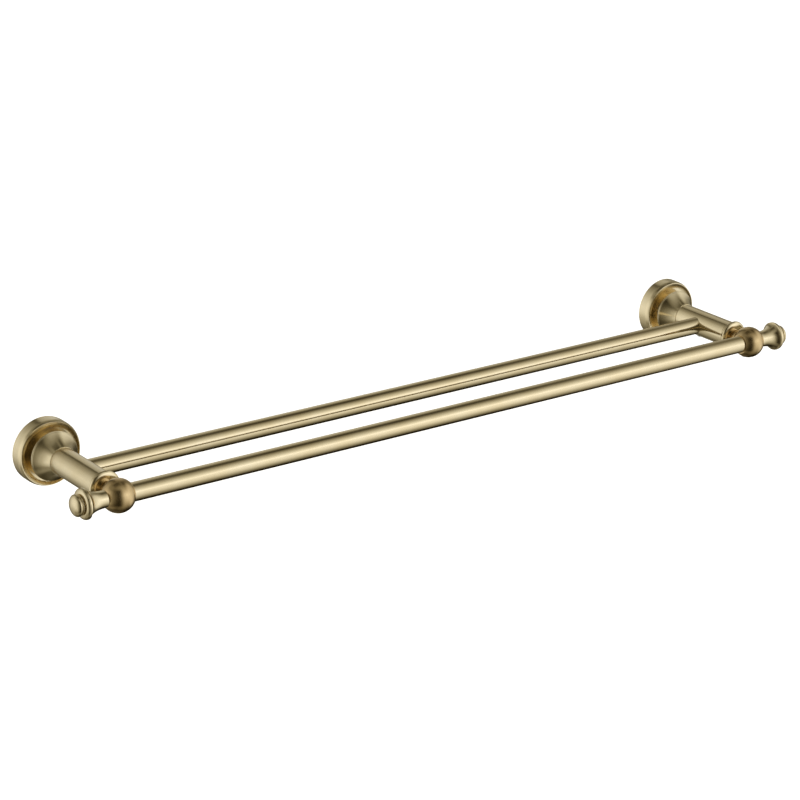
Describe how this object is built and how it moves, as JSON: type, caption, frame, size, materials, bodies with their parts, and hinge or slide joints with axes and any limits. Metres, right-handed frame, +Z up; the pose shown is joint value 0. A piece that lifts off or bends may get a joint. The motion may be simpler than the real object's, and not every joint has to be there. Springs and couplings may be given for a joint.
{
  "type": "towel rack",
  "caption": "Wall-mounted twin towel rack: turned brass posts with round wall rosettes carry a rear bar, and ball ends with finials carry a front bar.",
  "frame": {"origin": "on the wall plane, midway between the two posts, at the height of both bars: the centre of the four wall screw holes", "axes": "+X along the bars, towards the right-hand post seen from the room; +Y into the wall; +Z up"},
  "size_m": [0.7656, 0.1384, 0.058],
  "materials": {
    "satin_brass": "satin brushed, lacquered antique brass",
    "bracket_steel": "zinc plated pressed steel",
    "plated_steel": "zinc plated, turned",
    "screw_steel": "plain stainless, machined"
  },
  "bodies": {
    "root": {"front_bar": "satin_brass", "rear_bar": "satin_brass", "left_wall_bracket": "bracket_steel", "right_wall_bracket": "bracket_steel", "left_rosette": "satin_brass", "right_rosette": "satin_brass", "left_bell": "satin_brass", "right_bell": "satin_brass", "left_arm": "satin_brass", "right_arm": "satin_brass", "left_collar": "satin_brass", "right_collar": "satin_brass", "left_ball": "satin_brass", "right_ball": "satin_brass", "left_finial": "satin_brass", "right_finial": "satin_brass", "left_finial_stud": "plated_steel", "right_finial_stud": "plated_steel", "left_post_bolt": "plated_steel", "right_post_bolt": "plated_steel", "left_washer": "plated_steel", "right_washer": "plated_steel", "left_rosette_screw": "screw_steel", "right_rosette_screw": "screw_steel", "left_arm_screw": "screw_steel", "right_arm_screw": "screw_steel", "left_ball_screw": "screw_steel", "right_ball_screw": "screw_steel"}
  },
  "joints": []
}
